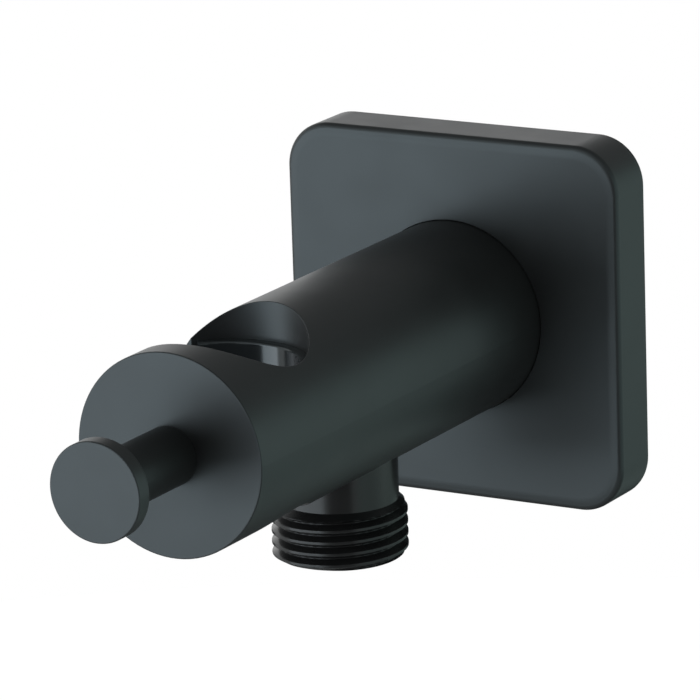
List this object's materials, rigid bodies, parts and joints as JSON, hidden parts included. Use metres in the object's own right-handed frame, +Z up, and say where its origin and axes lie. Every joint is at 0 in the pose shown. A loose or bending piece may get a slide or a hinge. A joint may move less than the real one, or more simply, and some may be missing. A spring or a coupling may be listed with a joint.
{
  "type": "shower wall outlet elbow",
  "caption": "Wall outlet elbow with a square plate, a round barrel with a side-open handset socket, a threaded hose outlet below and a disc-headed hook peg.",
  "frame": {"origin": "on the barrel's axis in the wall plane, where the inlet thread leaves the wall plate's back", "axes": "+Y into the wall along the inlet thread, +Z up, the barrel points to -Y"},
  "size_m": [0.0586, 0.1301, 0.0586],
  "materials": {
    "body_black": "matte powder coat",
    "nipple_black": "satin black plating",
    "liner_black": "glossy moulded",
    "raw_brass": "turned",
    "screw_steel": "plain",
    "ring_rubber": "matte",
    "seal_foam": "matte foam"
  },
  "bodies": {
    "root": {"barrel": "body_black", "wall_plate": "body_black", "hook_peg": "body_black", "outlet_nipple": "nipple_black", "socket_liner": "liner_black", "wall_nipple": "raw_brass", "grub_screw": "screw_steel", "peg_stud": "screw_steel", "nipple_ring_inner": "ring_rubber", "nipple_ring_outer": "ring_rubber", "plate_ring": "ring_rubber", "outlet_ring": "ring_rubber", "wall_seal": "seal_foam"}
  },
  "joints": []
}
